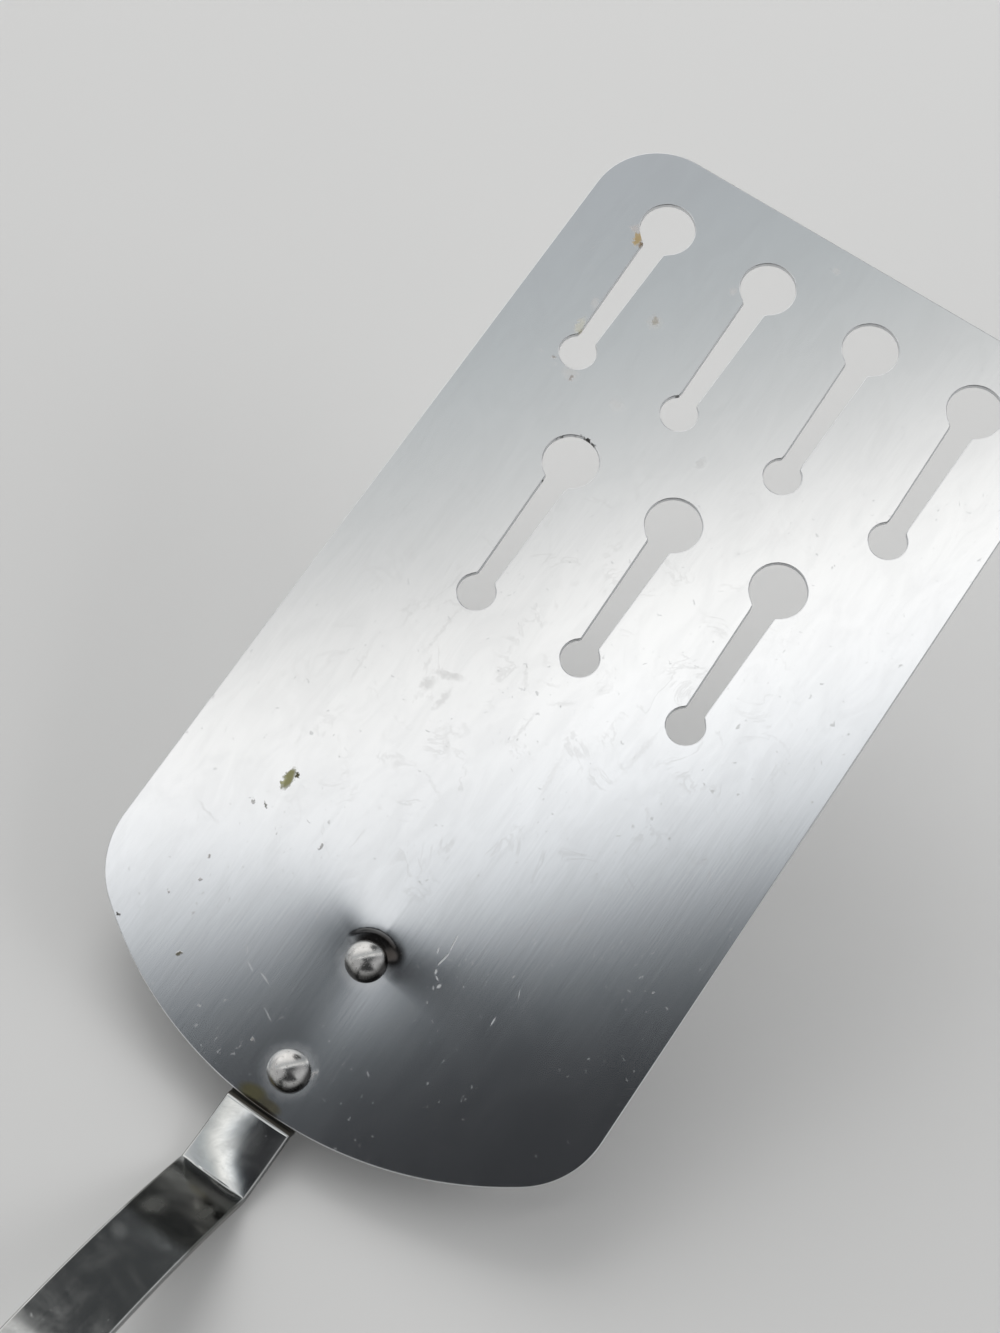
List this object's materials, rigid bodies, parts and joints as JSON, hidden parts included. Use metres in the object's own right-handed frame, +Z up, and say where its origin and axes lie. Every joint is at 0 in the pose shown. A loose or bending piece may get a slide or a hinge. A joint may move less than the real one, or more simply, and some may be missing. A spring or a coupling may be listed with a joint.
{
  "type": "slotted turner",
  "caption": "Kitchen turner: flat slotted chrome blade riveted to a bent strip shank, with a riveted two-part handle that ends in a hanging eyelet.",
  "frame": {"origin": "middle of the bounding box at the level of the table that the turner lies on", "axes": "+Y from the handle to the blade's tip, +Z up from the table, +X to the right of someone who looks along +Y"},
  "size_m": [0.0762, 0.3456, 0.055],
  "materials": {
    "satin_chrome": "satin chrome plate with a fine grain along the blade",
    "bright_chrome": "bright chrome plate",
    "rivet_steel": "satin steel",
    "black_moulding": "moulded black plastic with a soft sheen",
    "nickel": "nickel plated steel"
  },
  "bodies": {
    "root": {"blade": "satin_chrome", "shank": "bright_chrome", "blade_rivet_front": "rivet_steel", "blade_rivet_rear": "rivet_steel", "handle_half_upper": "black_moulding", "handle_half_lower": "black_moulding", "handle_rivet_front": "nickel", "handle_rivet_rear": "nickel", "hang_eyelet": "nickel"}
  },
  "joints": []
}
